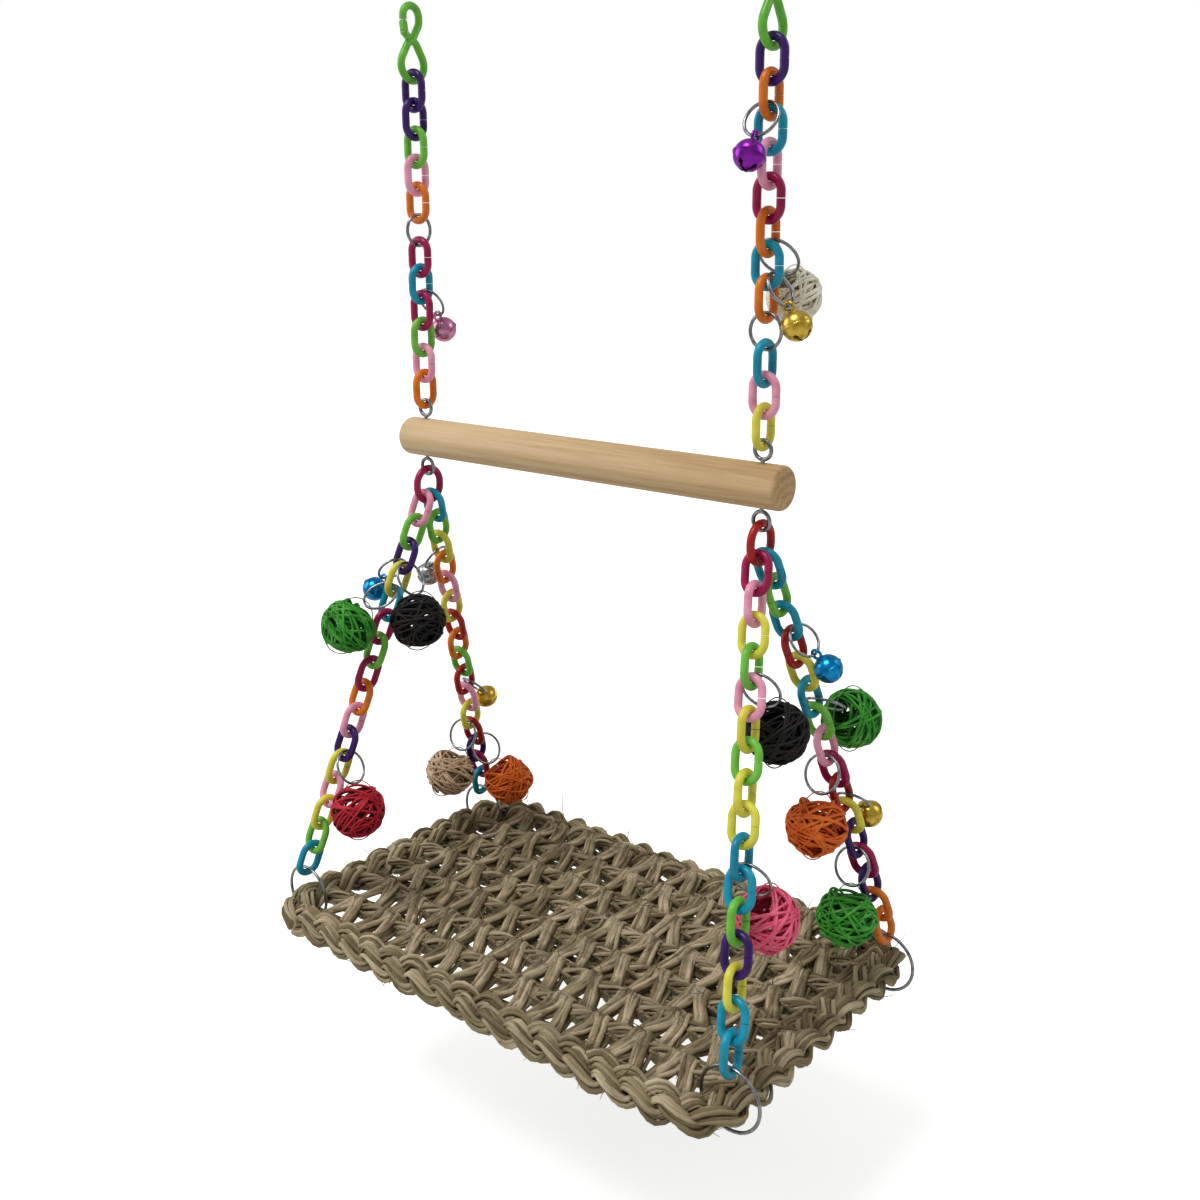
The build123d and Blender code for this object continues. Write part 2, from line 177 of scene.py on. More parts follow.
link_colours = {
    "purple": ("#3B1268", "#2C0A52"),
    "orange": ("#E2781A", "#CC650C"),
    "green": ("#74C244", "#5FAA35"),
    "pink": ("#EDA2BB", "#DB8AA6"),
    "magenta": ("#A30C50", "#86063E"),
    "teal": ("#0F97B4", "#077C98"),
    "yellow": ("#DFD84E", "#CAC03C"),
    "red": ("#AE1A14", "#8F0E0C"),
}
plastics = {f"link_{name}": moulded_plastic(f"moulded_plastic_{name}", *pair)
            for name, pair in link_colours.items()}
plastics["clip_plastic"] = moulded_plastic("moulded_plastic_clip", "#6BBE3C", "#57A62C")
print("plastics:", len(plastics))

# %% [markdown]
# ## Bright steel wire
# Rings and screw eyes are bent from drawn wire with a thin bright plating. The drawing leaves fine
# scratches, so roughness wanders a little and the highlights break up.

# %% Steel
def bright_wire(name, hex_colour):
    material = new_material(name)
    place = add(material, "ShaderNodeTexCoord").outputs["Object"]
    scuff = add(material, "ShaderNodeTexNoise", {"Vector": place, "Scale": 1 / (2.2 * MM), "Detail": 5.0})
    gloss = add(material, "ShaderNodeMapRange",
                {"Value": scuff.outputs["Fac"], "To Min": 0.16, "To Max": 0.42})
    tint = add(material, "ShaderNodeValToRGB", {"Fac": scuff.outputs["Fac"]},
               [(0.3, "#6C6F72"), (0.6, hex_colour)])
    return surface(material, **{"Base Color": tint.outputs["Color"], "Metallic": 1.0,
                                "Roughness": gloss.outputs["Result"]})


steel = bright_wire("plated_steel_wire", "#9DA0A3")
print("wire finish:", steel.name)

# %% [markdown]
# ## Lacquered bells
# Jingle bells are pressed from thin tin and dipped in clear coloured lacquer, so they mirror the room in
# their own colour. The slots show bare edges, and handling leaves small dull patches.

# %% Bells
def lacquered_tin(name, hex_colour, deep_colour):
    material = new_material(name)
    place = add(material, "ShaderNodeTexCoord").outputs["Object"]
    wear = add(material, "ShaderNodeTexNoise", {"Vector": place, "Scale": 1 / (3 * MM), "Detail": 4.0})
    colour = add(material, "ShaderNodeValToRGB", {"Fac": wear.outputs["Fac"]},
                 [(0.35, deep_colour), (0.6, hex_colour)])
    gloss = add(material, "ShaderNodeMapRange",
                {"Value": wear.outputs["Fac"], "To Min": 0.14, "To Max": 0.34})
    return surface(material, **{"Base Color": colour.outputs["Color"], "Metallic": 0.85,
                                "Roughness": gloss.outputs["Result"]})


bell_colours = {
    "blue": ("#1596D6", "#0A6FAC"),
    "purple": ("#9A2BB8", "#741A90"),
    "pink": ("#DB93B8", "#B96F97"),
    "gold": ("#DDBB4E", "#B48F2A"),
    "silver": ("#C2C2C2", "#8F8F8F"),
}
tins = {f"bell_{name}": lacquered_tin(f"lacquered_tin_{name}", *pair) for name, pair in bell_colours.items()}
print("bell finishes:", len(tins))

# %% [markdown]
# ## Sanded dowel
# The perch is a bare dowel of pale wood. Its grain runs along X in fine lines, and broad warm bands cross
# the lines slowly. Noise is stretched along X for the lines, and rings about the dowel's off-centre heart
# give the end faces their arcs. The wood is browner towards the right, and on the cut ends.

# %% Wood
def sanded_dowel(name):
    material = new_material(name)
    place = add(material, "ShaderNodeTexCoord").outputs["Object"]
    heart = tuple(-c for c in (0, perch_middle.y + 3 * MM, perch_middle.z - 9 * MM))
    shifted = add(material, "ShaderNodeMapping", {"Vector": place, "Location": heart})
    along = add(material, "ShaderNodeMapping", {"Vector": shifted.outputs["Vector"], "Scale": (0.035, 1, 1)})
    lines = add(material, "ShaderNodeTexNoise", {"Vector": along.outputs["Vector"], "Scale": 1 / (1.1 * MM),
                                                 "Detail": 4.0, "Roughness": 0.6})
    rings = add(material, "ShaderNodeTexWave", {"Vector": along.outputs["Vector"], "Scale": 1 / (11 * MM),
                                                "Distortion": 2.5, "Detail": 3.0, "Detail Scale": 1.4},
                wave_type="RINGS", rings_direction="X")
    bands = add(material, "ShaderNodeTexNoise", {"Vector": along.outputs["Vector"], "Scale": 1 / (9 * MM),
                                                 "Detail": 2.0})
    grain = add(material, "ShaderNodeMix", {0: 0.2, 2: lines.outputs["Fac"], 3: rings.outputs["Fac"]})
    tone = add(material, "ShaderNodeMix", {0: 0.45, 2: grain.outputs[0], 3: bands.outputs["Fac"]})
    pale = add(material, "ShaderNodeValToRGB", {"Fac": tone.outputs[0]},
               [(0.22, "#A98759"), (0.42, "#C7A87D"), (0.58, "#D4BA92"), (0.8, "#DFCBA8")])
    warm = add(material, "ShaderNodeValToRGB", {"Fac": tone.outputs[0]},
               [(0.22, "#80613A"), (0.42, "#A58253"), (0.58, "#BD9A6A"), (0.8, "#CDAF83")])
    x = add(material, "ShaderNodeSeparateXYZ", {"Vector": place}).outputs["X"]
    slow = add(material, "ShaderNodeMapRange", {"Value": x, "From Min": -60 * MM, "From Max": 140 * MM})
    reach = add(material, "ShaderNodeMath", {0: x}, operation="ABSOLUTE").outputs[0]
    half = (perch_high.x - perch_low.x) / 2
    ends = add(material, "ShaderNodeMapRange",
               {"Value": reach, "From Min": half - 1.5 * MM, "From Max": half})
    share = add(material, "ShaderNodeMath", {0: slow.outputs["Result"], 1: ends.outputs["Result"]},
                operation="MAXIMUM")
    colour = add(material, "ShaderNodeMixRGB", {"Fac": share.outputs[0], "Color1": pale.outputs["Color"],
                                                "Color2": warm.outputs["Color"]})
    bump = add(material, "ShaderNodeBump",
               {"Height": lines.outputs["Fac"], "Strength": 0.25, "Distance": 0.2 * MM})
    return surface(material, **{"Base Color": colour.outputs["Color"], "Roughness": 0.62,
                                "Normal": bump.outputs["Normal"]})


wood = sanded_dowel("sanded_poplar_dowel")
print("perch finish:", wood.name, "with", len(wood.node_tree.nodes), "nodes")

# %% [markdown]
# ## Finishes for the CAD pieces
# The record says which material slot each CAD node belongs to, so one loop gives all rigid pieces their
# finish. The nodes of the mat and of the balls are left for the pieces built below.

# %% Assign
finishes = {**plastics, **tins, "steel_wire": steel, "perch_wood": wood}
slots = {row["node"]: row["material_slot"] for row in frame["record"]["subparts"]}
for name, node in nodes.items():
    if slots[name] in finishes:
        node.data.materials.clear()
        node.data.materials.append(finishes[slots[name]])
print("dressed", sum(slot in finishes for slot in slots.values()), "CAD nodes")

# %% [markdown]
# ## Strands of plant fibre
# Seagrass rope and split vine are both bundles of long thin blades. A Blender curve with a round bevel
# makes each blade from a line of points, with a thickness at every point, and all blades of a piece become
# one mesh. The curve gives that mesh a UV map that runs round and along each blade, which carries the fibre
# pattern. Blender's noise vectors start from the clock unless they are given a seed, so that comes first.

# %% Strand helpers
noise.seed_set(11)


def blades_to_piece(name, blades, thickness, closed, materials, sides=1):
    """One mesh from blades of (points, widths, tone), where the tone picks one of the materials."""
    curve = bpy.data.curves.new(name, "CURVE")
    curve.dimensions = "3D"
    curve.bevel_depth = thickness / 2
    curve.bevel_resolution = sides
    curve.use_fill_caps = not closed
    for material in materials:
        curve.materials.append(material)
    for points, widths, tone in blades:
        spline = curve.splines.new("POLY")
        spline.points.add(len(points) - 1)
        spline.use_cyclic_u = closed
        spline.material_index = tone
        for spot, point, width in zip(spline.points, points, widths):
            spot.co = (*point, 1)
            spot.radius = width
    holder = bpy.data.objects.new(name, curve)
    mesh = bpy.data.meshes.new_from_object(holder)
    bpy.data.objects.remove(holder)
    bpy.data.curves.remove(curve)
    mesh.shade_smooth()
    piece = bpy.data.objects.new(name, mesh)
    bpy.context.scene.collection.objects.link(piece)
    return piece


# %% [markdown]
# A bundle lays its blades round one line, spread over a flat oval, and turns them slowly about it, as a
# twisted rope does. Noise lets every blade stray and change its width. Ropes also need a flowing line through
# the points where they are tied, which a Catmull-Rom spline gives.

# %% Bundles and flowing lines
BLADE_TURN, TURN_PLAY = 2.4, 0.4
INNER_SHARE, OUTER_SHARE = 0.15, 0.95
WIDTH_MEAN, WIDTH_CHANGE = 0.95, 0.5
SEED_RANGE = 90
ROPE_STEPS = 9
stray_size, width_size = 8 * MM, 12 * MM


def bundle(line, count, spread, flat, lay, chance, wobble, tones):
    """Blades that lie round a line of (point, direction) pairs, turning once in each length of lay."""
    blades = []
    for blade in range(count):
        seed = Vector([chance.uniform(0, SEED_RANGE) for _ in range(3)])
        start = BLADE_TURN * blade + chance.uniform(-TURN_PLAY, TURN_PLAY)
        reach = spread * (INNER_SHARE + OUTER_SHARE * sqrt(blade / count))
        points, widths, gone = [], [], 0.0
        for place, (point, direction) in enumerate(line):
            if place:
                gone += (point - line[place - 1][0]).length
            side = direction.cross(Vector((0, 0, 1))).normalized()
            over = side.cross(direction).normalized()
            stray = noise.noise_vector(point / stray_size + seed) * wobble
            angle = start + 2 * pi * gone / lay
            points.append(point + side * cos(angle) * reach + over * sin(angle) * reach * flat + stray)
            widths.append(WIDTH_MEAN + WIDTH_CHANGE * noise.noise(point / width_size + seed))
        blades.append((points, widths, chance.randrange(tones)))
    return blades


def smooth(stations, steps):
    """Points on a flowing line through stations (a Catmull-Rom spline)."""
    ends = [2 * stations[0] - stations[1], *stations, 2 * stations[-1] - stations[-2]]
    points = []
    for p, q, r, s in zip(ends, ends[1:], ends[2:], ends[3:]):
        for n in range(steps):
            t = n / steps
            points.append(q + (r - p) * t / 2 + (2 * p - 5 * q + 4 * r - s) * t * t / 2
                          + (3 * q - p - 3 * r + s) * t ** 3 / 2)
    return points + [stations[-1]]


def rope_line(stations):
    """A flowing line through stations as the (point, direction) pairs that a bundle needs."""
    line = smooth(stations, ROPE_STEPS)
    ahead = [(b - a).normalized() for a, b in zip(line, line[1:])]
    return list(zip(line, ahead + ahead[-1:]))


print("a rope through 3 points has", len(rope_line([Vector((k, 0, 0)) for k in range(3)])), "stops")

# %% [markdown]
# ## Seagrass
# Dried seagrass blades are matt and ribbed along their length. Some are straw pale, some olive, some
# brown, so four tones of one recipe are mixed blade by blade, and the plait of the border has them paler as
# painted light on the raised plait. The ribs are noise on the UV map, fine round the blade and long along it,
# and the same noise darkens the grass between ribs: painted shade in the creases.

# %% Seagrass
RIBS_ROUND = 9
rib_length = 16 * MM


def seagrass(name, dark, middle, pale, length):
    """Grass in three shades, for blades of that length."""
    material = new_material(name)
    wrap = add(material, "ShaderNodeTexCoord")
    stretch = add(material, "ShaderNodeMapping", {"Vector": wrap.outputs["UV"],
                                                  "Scale": (RIBS_ROUND, length / rib_length, 1)})
    ribs = add(material, "ShaderNodeTexNoise", {"Vector": stretch.outputs["Vector"], "Scale": 1.0,
                                                "Detail": 5.0, "Roughness": 0.65})
    patch = add(material, "ShaderNodeTexNoise", {"Vector": wrap.outputs["Object"], "Scale": 1 / (11 * MM),
                                                 "Detail": 3.0})
    mixed = add(material, "ShaderNodeMix", {0: 0.35, 2: ribs.outputs["Fac"], 3: patch.outputs["Fac"]})
    # The dark end of this ramp, where the rib noise is low, is painted shade in the creases between ribs.
    colour = add(material, "ShaderNodeValToRGB", {"Fac": mixed.outputs[0]},
                 [(0.3, dark), (0.5, middle), (0.7, pale)])
    bump = add(material, "ShaderNodeBump",
               {"Height": ribs.outputs["Fac"], "Strength": 0.7, "Distance": 0.6 * MM})
    return surface(material, **{"Base Color": colour.outputs["Color"], "Roughness": 0.78,
                                "Normal": bump.outputs["Normal"]})


grass_tones = {
    "straw": ("#5D5039", "#A8977A", "#D0C1A0"),
    "grey": ("#524834", "#95876B", "#BBAD8E"),
    "olive": ("#413724", "#827456", "#AA9B78"),
    "brown": ("#2E2415", "#685A3F", "#92825F"),
}
# Paler copies of the same tones for the plait: painted light on the raised border.
lit_plait_tones = {
    "straw": ("#5D5039", "#BCAA88", "#E2D4B2"),
    "grey": ("#524834", "#AA9A79", "#D0C19F"),
    "olive": ("#413724", "#958663", "#BFAF89"),
    "brown": ("#2E2415", "#796A4A", "#A5946E"),
}


def all_tones(use, length, tones):
    return [seagrass(f"seagrass_{use}_{tone}", *colours, length) for tone, colours in tones.items()]


print("tones of grass:", *grass_tones)

# %% [markdown]
# ## The mat's border
# The border is a flat plait of three strands round the whole mat. Its middle line is a rectangle with round
# corners, walked by distance, so that the plait can close on itself after a whole number of cycles.

# %% Border line
outer_low, outer_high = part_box("mat_border")
inner_low, inner_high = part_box("mat_net")
border_width = inner_low.x - outer_low.x
border_height = outer_high.z - outer_low.z
mat_middle = (outer_low + outer_high) / 2
half_x = outer_high.x - border_width / 2
half_y = outer_high.y - border_width / 2
corner = 14 * MM
loop_length = 4 * (half_x + half_y - 2 * corner) + 2 * pi * corner


def border_at(gone):
    """Point and direction on the border's middle line, that far round from the front left corner."""
    heading, point = 0.0, Vector((corner - half_x, -half_y, mat_middle.z))
    for straight in (half_x, half_y, half_x, half_y):
        length = 2 * (straight - corner)
        direction = Vector((cos(heading), sin(heading), 0))
        if gone <= length:
            return point + direction * gone, direction
        gone -= length
        centre = point + direction * length + Vector((-sin(heading), cos(heading), 0)) * corner
        turned = min(gone / corner, pi / 2)
        direction = Vector((cos(heading + turned), sin(heading + turned), 0))
        point = centre + Vector((direction.y, -direction.x, 0)) * corner
        if turned < pi / 2:
            return point, direction
        gone -= corner * pi / 2
        heading += pi / 2
    return point, direction


print("the border's middle line is", round(loop_length / MM), "mm round")

# %% [markdown]
# In a plait each strand swings from side to side and goes over and under twice as often, a third of a cycle
# behind its neighbour. Each strand is a bundle of blades, so the plait is three closed bundles.

# %% Plait
STRANDS, STRAND_BLADES = 3, 12
PLAIT_CYCLES, TWISTS = 17, 9
step = 2.0 * MM
blade_thickness = 1.9 * MM
strand_width, strand_height = 8.0 * MM, 6.0 * MM
strand_inset = 0.8 * MM
swing = (border_width - strand_width) / 2 + 0.3 * MM
lift = (border_height - strand_height) / 2
slack, slack_size = 0.9 * MM, 25 * MM
chance = random.Random(7)
border_blades = []
count = int(loop_length / step)
for third in range(STRANDS):
    line = []
    for place in range(count):
        phase = 2 * pi * (PLAIT_CYCLES * place / count + third / STRANDS)
        point, direction = border_at(loop_length * place / count)
        side = Vector((direction.y, -direction.x, 0))
        loose = noise.noise_vector(point / slack_size + Vector((0, 0, third))) * slack
        line.append(point + side * swing * sin(phase) + Vector((0, 0, lift * sin(2 * phase))) + loose)
    ahead = [(line[(i + 1) % count] - line[i - 1]).normalized() for i in range(count)]
    border_blades += bundle(list(zip(line, ahead)), STRAND_BLADES, strand_width / 2 - strand_inset,
                            strand_height / strand_width, loop_length / TWISTS, chance, slack,
                            len(grass_tones))
lit_plait_grass = all_tones("plait", loop_length, lit_plait_tones)
border = blades_to_piece("mat_border_plait", border_blades, blade_thickness, True, lit_plait_grass)
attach(border, "platform")
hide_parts("mat_border")
print("border blades:", len(border_blades), "faces:", len(border.data.polygons))

# %% [markdown]
# ## The net
# Inside the border, ropes are tied into a net. The crossings lie on a grid that comes from the mat's own size
# and the number of gaps, and every crossing is pushed aside a little so that no two cells are alike.

# %% Crossings
NET_COLUMNS, NET_ROWS = 11, 7
net_x, net_y = inner_high.x - inner_low.x, inner_high.y - inner_low.y
rope = 8.5 * MM
aside_most = 1.5 * MM
LIFT_SHARE = 0.4
cell_x, cell_y = (net_x + rope) / NET_COLUMNS, (net_y + rope) / NET_ROWS
chance = random.Random(19)
crossing = {}
for i in range(NET_COLUMNS + 1):
    for j in range(NET_ROWS + 1):
        push = Vector([chance.uniform(-most, most) for most in (1, 1, LIFT_SHARE)]) * aside_most
        grid = Vector(((i - NET_COLUMNS / 2) * cell_x, (j - NET_ROWS / 2) * cell_y, mat_middle.z))
        crossing[i, j] = grid + push
print("crossings:", len(crossing), "in cells of", round(cell_x / MM), "x", round(cell_y / MM), "mm")

# %% [markdown]
# Six ropes run along the mat through the crossings, each with a thinner one under it.

# %% Ropes
rope_blade = 1.8 * MM
upper_rope = {"rise": 1.2 * MM, "count": 10, "spread": 2.9 * MM}
under_rope = {"rise": -2.6 * MM, "count": 6, "spread": 2.2 * MM}
ROPE_FLATNESS = 0.85
rope_lay, rope_wobble = 34 * MM, 1.0 * MM
net_blades = []
for j, kind in product(range(1, NET_ROWS), (upper_rope, under_rope)):
    stations = [crossing[i, j] + Vector((0, 0, kind["rise"])) for i in range(NET_COLUMNS + 1)]
    net_blades += bundle(rope_line(stations), kind["count"], kind["spread"], ROPE_FLATNESS, rope_lay, chance,
                         rope_wobble, len(grass_tones))
rope_grass = all_tones("rope", net_x, grass_tones)
net = blades_to_piece("mat_net_ropes", net_blades, rope_blade, False, rope_grass)
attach(net, "platform")
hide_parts("mat_net")
print("net blades:", len(net_blades), "faces:", len(net.data.polygons))

# %% [markdown]
# ## Low ropes of painted shade
# The photo's net lets light through in front, while further back its gaps are only dark pits. So each row
# of gaps gets a flat rope low in it, of olive and brown blades only, as painted shade: a few in the front rows,
# many behind, where the pits are dark. Those two tones are the last ones in the list.

# %% Low ropes
OPEN_ROWS, SHADE_TONES = 2, 2
LOW_FLATNESS = 0.3
low = Vector((0, 0, -3.3 * MM))
low_lay, low_wobble = 40 * MM, 1.4 * MM
first_shade_tone = len(grass_tones) - SHADE_TONES
low_shade_blades = []
for j in range(NET_ROWS):
    count, spread = (3, 1.6 * MM) if j < OPEN_ROWS else (16, 5.2 * MM)
    stations = [(crossing[i, j] + crossing[i, j + 1]) / 2 + low for i in range(NET_COLUMNS + 1)]
    row = bundle(rope_line(stations), count, spread, LOW_FLATNESS, low_lay, chance, low_wobble, SHADE_TONES)
    # Only the two darkest tones: painted shade low in the net's gaps.
    low_shade_blades += [(points, widths, first_shade_tone + tone) for points, widths, tone in row]
low_shade_grass = all_tones("low_shade_rope", net_x, grass_tones)
low_shade_ropes = blades_to_piece("mat_net_low_shade_ropes", low_shade_blades, rope_blade, False, low_shade_grass)
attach(low_shade_ropes, "platform")
print("low blades:", len(low_shade_blades), "faces:", len(low_shade_ropes.data.polygons))

# %% [markdown]
# ## Hitches
# The ropes are tied to each other by hitches. At each crossing a bunch of blades comes up behind the rope,
# bends over it and parts into two legs, which run down to the rope in front and end under it. From above a
# hitch reads as a small star, and the pits between the legs are dark because the mat is thick. One function
# draws a blade: where it starts, crests, narrows and ends is a short table of distances from the crossing.

# %% One blade of a hitch
HITCH_BLADES, HITCH_STEPS = 7, 3
LEG_SHARES = (0.26, 0.4)
CREST_MM, WAIST_MM = (4.0, 5.6), (1.2, 3.0)
END_WIDTH, BELLY, WIDTH_PLAY = 0.75, 0.35, 0.1


def hitch_blade(face, peak, foot, slant, n):
    """Blade n of the leg that slants that way, on the upper (1) or the under (-1) face of the net."""
    fan = (n - HITCH_BLADES // 2) / (HITCH_BLADES // 2)
    # Blades of the under face take only the two darkest tones: painted shade under the net.
    tone = chance.randrange(0 if face > 0 else first_shade_tone, len(grass_tones))
    leg = foot + Vector((slant * cell_x * chance.uniform(*LEG_SHARES), 0, 0))
    crest, waist = chance.uniform(*CREST_MM), chance.uniform(*WAIST_MM)
    # In mm from the crossing or the leg's end: along the rope, back from it and up.
    profile = (
        (peak, slant * 1.0 + fan * 3.0, 3.8, n * 0.3 - 2.0),
        (peak, slant * 1.2 + fan * 2.8, 0.4, crest),
        (peak, slant * 2.6 + fan * 2.2, -4.4, waist),
        (leg, fan * 2.4, 4.4, fan * 1.2 - 0.6),
        (leg, fan * 2.8, -0.6, -3.6),
    )
    stations = [start + Vector((x, face * y, face * z)) * MM for start, x, y, z in profile]
    points = smooth(stations, HITCH_STEPS)
    last = len(points) - 1
    widths = [END_WIDTH + BELLY * sin(pi * k / last) + chance.uniform(-WIDTH_PLAY, WIDTH_PLAY)
              for k in range(len(points))]
    return points, widths, tone


print("blades in a hitch:", 2 * HITCH_BLADES)

# %% [markdown]
# Every crossing gets a hitch on the upper face. The same hitches, turned over and half a cell aside, close
# the underside as a second piece, in the two dark tones only, as painted shade under the net.

# %% Hitches
half_cell = Vector((cell_x / 2, 0, 0))
hitch_blades = {1: [], -1: []}
for j, i in product(range(1, NET_ROWS + 1), range(1, NET_COLUMNS)):
    upper = (1, crossing[i, j], crossing[i, j - 1])
    under = (-1, crossing[i, j - 1] + half_cell, crossing[i, j] + half_cell)
    for (face, peak, foot), slant, n in product((upper, under), (1, -1), range(HITCH_BLADES)):
        hitch_blades[face].append(hitch_blade(face, peak, foot, slant, n))
hitch_grass = all_tones("hitch", 28 * MM, grass_tones)
for name, face in (("mat_net_hitches", 1), ("mat_net_under_hitches", -1)):
    hitches = blades_to_piece(name, hitch_blades[face], blade_thickness, False, hitch_grass)
    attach(hitches, "platform")
    print(name, "blades:", len(hitch_blades[face]), "faces:", len(hitches.data.polygons))

# %% [markdown]
# ## Loose fibres
# Dry grass frays. Thin hairs leave the plait and the hitches at a shallow angle and end in the air.

# %% Loose fibres
HAIRS_PER_STRAND, HITCHES_PER_HAIR = 6, 2
HAIR_STEPS = 3
HAIR_MM = (5, 13)
DROOP = 0.1
HALF_SPLAY, END_SPLAY = 0.25, 0.45
TAPER = 0.7
hair_thickness = 0.55 * MM
hairs = []
for points, _, tone in border_blades * HAIRS_PER_STRAND + hitch_blades[1][::HITCHES_PER_HAIR]:
    at = chance.randrange(1, len(points) - 1)
    root = points[at]
    along = (points[at + 1] - points[at - 1]).normalized()
    out = Vector([chance.uniform(-least, 1) for least in (1, 1, DROOP)]).normalized()
    reach = chance.uniform(*HAIR_MM) * MM
    half_way = root + (along + out * HALF_SPLAY) * reach / 2
    tip = root + (along + out * END_SPLAY) * reach
    hair = smooth([root, half_way, tip], HAIR_STEPS)
    hairs.append((hair, [1 - TAPER * k / len(hair) for k in range(len(hair))], tone))
hair_grass = all_tones("hair", 9 * MM, grass_tones)
fray = blades_to_piece("mat_loose_fibres", hairs, hair_thickness, False, hair_grass, sides=0)
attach(fray, "platform")
print("hairs:", len(hairs))

# %% [markdown]
# ## Vine balls
# Each ball is wound from thin split vine: hoop over hoop, each a little off the last, with air between.
# One hoop crosses the top, where the wire ring passes under it, and all the others leave that place free.
# The hoops are laid out round the ball's own axis, which the ball's joint gives: the axis runs from the
# middle of the ball to the pivot.

# %% Vine
def split_vine(name, dark, middle, pale):
    material = new_material(name)
    wrap = add(material, "ShaderNodeTexCoord")
    stretch = add(material, "ShaderNodeMapping", {"Vector": wrap.outputs["UV"], "Scale": (5, 7, 1)})
    ribs = add(material, "ShaderNodeTexNoise",
               {"Vector": stretch.outputs["Vector"], "Scale": 1.0, "Detail": 4.0})
    patch = add(material, "ShaderNodeTexNoise", {"Vector": wrap.outputs["Object"], "Scale": 1 / (5 * MM),
                                                 "Detail": 3.0})
    mixed = add(material, "ShaderNodeMix", {0: 0.5, 2: ribs.outputs["Fac"], 3: patch.outputs["Fac"]})
    colour = add(material, "ShaderNodeValToRGB", {"Fac": mixed.outputs[0]},
                 [(0.32, dark), (0.5, middle), (0.68, pale)])
    bump = add(material, "ShaderNodeBump",
               {"Height": ribs.outputs["Fac"], "Strength": 0.5, "Distance": 0.3 * MM})
    return surface(material, **{"Base Color": colour.outputs["Color"], "Roughness": 0.6,
                                "Specular IOR Level": 0.3, "Normal": bump.outputs["Normal"]})


vine_colours = {
    "green": ("#15600F", "#369428", "#6CBE58"),
    "black": ("#060404", "#100C0B", "#241C1B"),
    "red": ("#6E0712", "#AE1027", "#CB3347"),
    "natural": ("#94785A", "#C2A586", "#DCC6AA"),
    "orange": ("#B24608", "#DC6418", "#EE8437"),
    "pink": ("#C93A5A", "#EC5F80", "#F58AA2"),
    "cream": ("#CFC8AE", "#EDE8D4", "#FAF7EA"),
}
vines = {}
for name, (dark, middle, pale) in vine_colours.items():
    # The second material is the same vine darker: painted shade for the deeper hoops inside the ball.
    vines[name] = [split_vine(f"split_vine_{name}", dark, middle, pale),
                   split_vine(f"split_vine_{name}_inner_shade", dark, dark, middle)]
print("vine colours:", *vines)

# %% [markdown]
# A hoop is a circle about the ball's middle, tilted and turned, and later hoops lie deeper. Every fourth one
# is a smaller circle that crosses the bottom, which the others leave thin. A slow wave in and out makes a
# hoop seem to dive under its neighbours, and its width changes along it, as cut vine does.

# %% Hoops
HOOPS, HOOP_POINTS, LOW_HOOP_EVERY = 54, 40, 4
GOLDEN_TURN, SPIN_PLAY = radians(137.5), 0.4
TILTS, LEANS, LEAN_PLAY = (14, 63), (20, 55), 12
INSET_MM, WAVE_MM = (0.5, 1.1), (0.1, 0.5)
TOP_WIDTH, HOOP_WIDTH, HOOP_CHANGE, HOOP_PLAY = 0.36, 0.85, 0.15, 0.1
vine_width = 1.25 * MM
top_inset, winding_depth = 0.2 * MM, 4.2 * MM


def place_hoop(hoop, radius, pole, ring_side, fore, chance):
    """A hoop's centre, seen from the ball's middle, its normal and its size."""
    if hoop == 0:
        return Vector(), ring_side, radius - top_inset
    tilt = radians(chance.uniform(*TILTS))
    spin = hoop * GOLDEN_TURN + chance.uniform(-SPIN_PLAY, SPIN_PLAY)
    aside = ring_side * cos(spin) + fore * sin(spin)
    size = radius - top_inset - vine_width / 2 - chance.uniform(*INSET_MM) * MM
    size -= winding_depth * (hoop / HOOPS) ** 2
    if hoop % LOW_HOOP_EVERY < LOW_HOOP_EVERY - 1:
        return Vector(), pole * cos(tilt) + aside * sin(tilt), size
    lean = radians(chance.uniform(*LEANS))
    opening = lean + radians(chance.uniform(-LEAN_PLAY, LEAN_PLAY))
    normal = aside * sin(lean) - pole * cos(lean)
    return normal * size * cos(opening), normal, size * sin(opening)


def draw_hoop(hoop, centre, normal, size, chance):
    """The blade of a hoop, in the darker inner tone, painted shade, for the deeper half of the winding."""
    first = normal.orthogonal().normalized()
    second = normal.cross(first)
    wave = chance.uniform(*WAVE_MM) * MM if hoop else 0
    phase = chance.uniform(0, 6)
    points, widths = [], []
    for place in range(HOOP_POINTS):
        angle = 2 * pi * place / HOOP_POINTS
        reach = size + wave * sin(3 * angle + phase)
        points.append(centre + (first * cos(angle) + second * sin(angle)) * reach)
        width = HOOP_WIDTH + HOOP_CHANGE * sin(2 * angle + phase) if hoop else TOP_WIDTH
        widths.append(width + HOOP_PLAY * chance.random())
    return points, widths, int(hoop > HOOPS / 2)


print("hoops in a ball:", HOOPS, "of which", HOOPS // LOW_HOOP_EVERY, "cross the bottom")

# %% [markdown]
# Each ball takes its radius from its CAD solid and its place from the joint, and draws its own random numbers
# from its name, so a change to one ball leaves the others as they are.

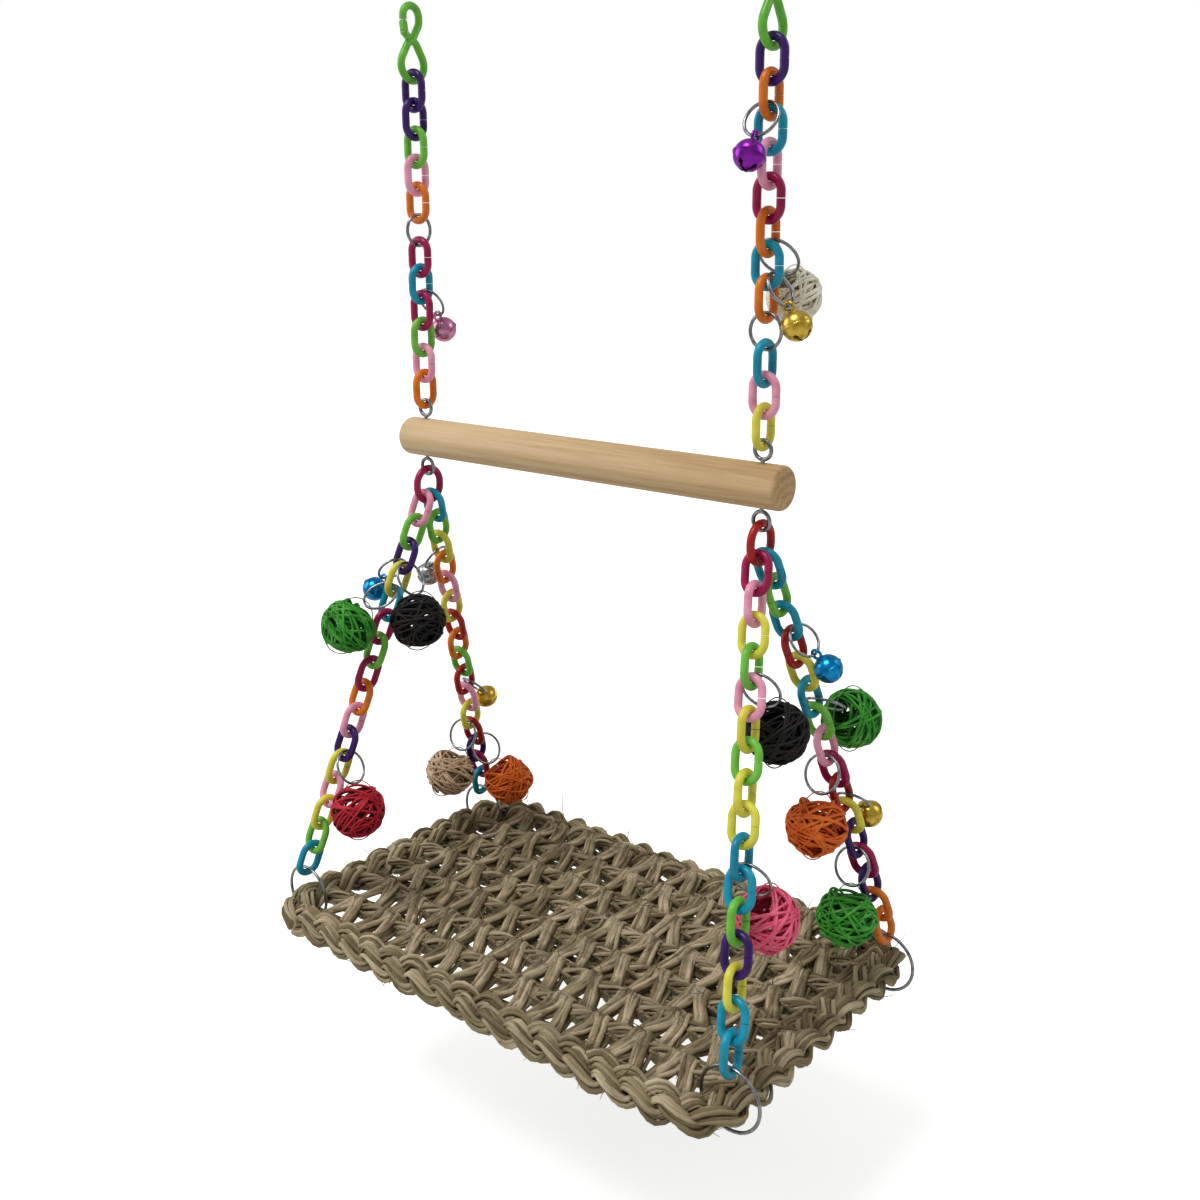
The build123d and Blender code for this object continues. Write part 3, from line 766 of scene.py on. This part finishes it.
# %% Balls
pivot_depth = 1.25 * MM
pivots = {row["child"]: Vector(row["pos_m"]) for row in frame["joints"]}
axes = {row["child"]: Vector(row["axis"]) for row in frame["joints"]}
ball_names = [name for name in nodes if name.startswith("ball_")]
for name in ball_names:
    chance = random.Random(name)
    corners = [v.co for v in nodes[name].data.vertices]
    middle = sum(corners, Vector()) / len(corners)
    radius = max((c - middle).length for c in corners)
    pole = (pivots[name] - middle).normalized()
    middle = pivots[name] - pole * (radius - pivot_depth)
    ring_side = axes[name].normalized()
    fore = pole.cross(ring_side)
    blades = []
    for hoop in range(HOOPS):
        offset, normal, size = place_hoop(hoop, radius, pole, ring_side, fore, chance)
        blades.append(draw_hoop(hoop, middle + offset, normal, size, chance))
    colour = slots[name].partition("_")[2]
    ball = blades_to_piece(f"{name}_vine", blades, vine_width, True, vines[colour])
    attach(ball, name)
    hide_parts(name)
print("balls wound:", len(ball_names))

# %% [markdown]
# ## Floor and light
# The photo has a plain white ground. A wide pale floor under the mat catches a faint shadow. Only the camera
# sees the floor's glow and the full white of the world, so neither lights the swing more.

# %% Stage
FLOOR_HALF, SEEN_GLOW = 6.0, 0.64
SKY_LIGHT, SKY_SEEN = 0.4, 1.0
floor_drop = 90 * MM
floor_mesh = bpy.data.meshes.new("floor")
shape = bmesh.new()
bmesh.ops.create_grid(shape, x_segments=1, y_segments=1, size=FLOOR_HALF)
bmesh.ops.translate(shape, verts=shape.verts, vec=(0, 0, cad_low.z - floor_drop))
shape.to_mesh(floor_mesh)
shape.free()
floor = bpy.data.objects.new("floor", floor_mesh)
bpy.context.scene.collection.objects.link(floor)
paper = new_material("white_paper_sweep")
rays = add(paper, "ShaderNodeLightPath")
matt = add(paper, "ShaderNodeBsdfDiffuse", {"Color": linear("#D6D6D3")})
seen = add(paper, "ShaderNodeMath", {0: rays.outputs["Is Camera Ray"], 1: SEEN_GLOW}, operation="MULTIPLY")
glow = add(paper, "ShaderNodeEmission", {"Color": linear("#FFFFFF"), "Strength": seen.outputs[0]})
both = add(paper, "ShaderNodeAddShader", {0: matt.outputs[0], 1: glow.outputs[0]})
add(paper, "ShaderNodeOutputMaterial", {"Surface": both.outputs[0]})
floor_mesh.materials.append(paper)

world = bpy.data.worlds.new("studio")
world.use_nodes = True
world.node_tree.nodes.clear()
rays = add(world, "ShaderNodeLightPath")
strength = add(world, "ShaderNodeMapRange",
               {"Value": rays.outputs["Is Camera Ray"], "To Min": SKY_LIGHT, "To Max": SKY_SEEN})
sky = add(world, "ShaderNodeBackground", {"Color": linear("#FFFFFF"), "Strength": strength.outputs["Result"]})
add(world, "ShaderNodeOutputWorld", {"Surface": sky.outputs[0]})
bpy.context.scene.world = world
print("floor", round(floor_drop / MM), "mm under the mat")

# %% [markdown]
# A wide soft sun lights floor and swing alike, so the floor stays even to the horizon, and two large lamps
# add a fill and a rim. All are turned to the perch.

# %% Lamps
def aim(light, place):
    lamp = bpy.data.objects.new(light.name, light)
    lamp.location = place
    lamp.rotation_mode = "QUATERNION"
    lamp.rotation_quaternion = (Vector(place) - perch_middle).to_track_quat("Z", "Y")
    bpy.context.scene.collection.objects.link(lamp)


key = bpy.data.lights.new("key", "SUN")
key.energy, key.angle = 1.75, radians(24)
aim(key, (-0.15, -0.55, 1.0))
for name, place, power, size in (("fill", (-1.1, -0.6, 0.3), 4, 0.9), ("rim", (0.9, 0.8, 0.6), 3, 0.8)):
    light = bpy.data.lights.new(name, "AREA")
    light.energy, light.shape, light.size = power, "DISK", size
    aim(light, place)
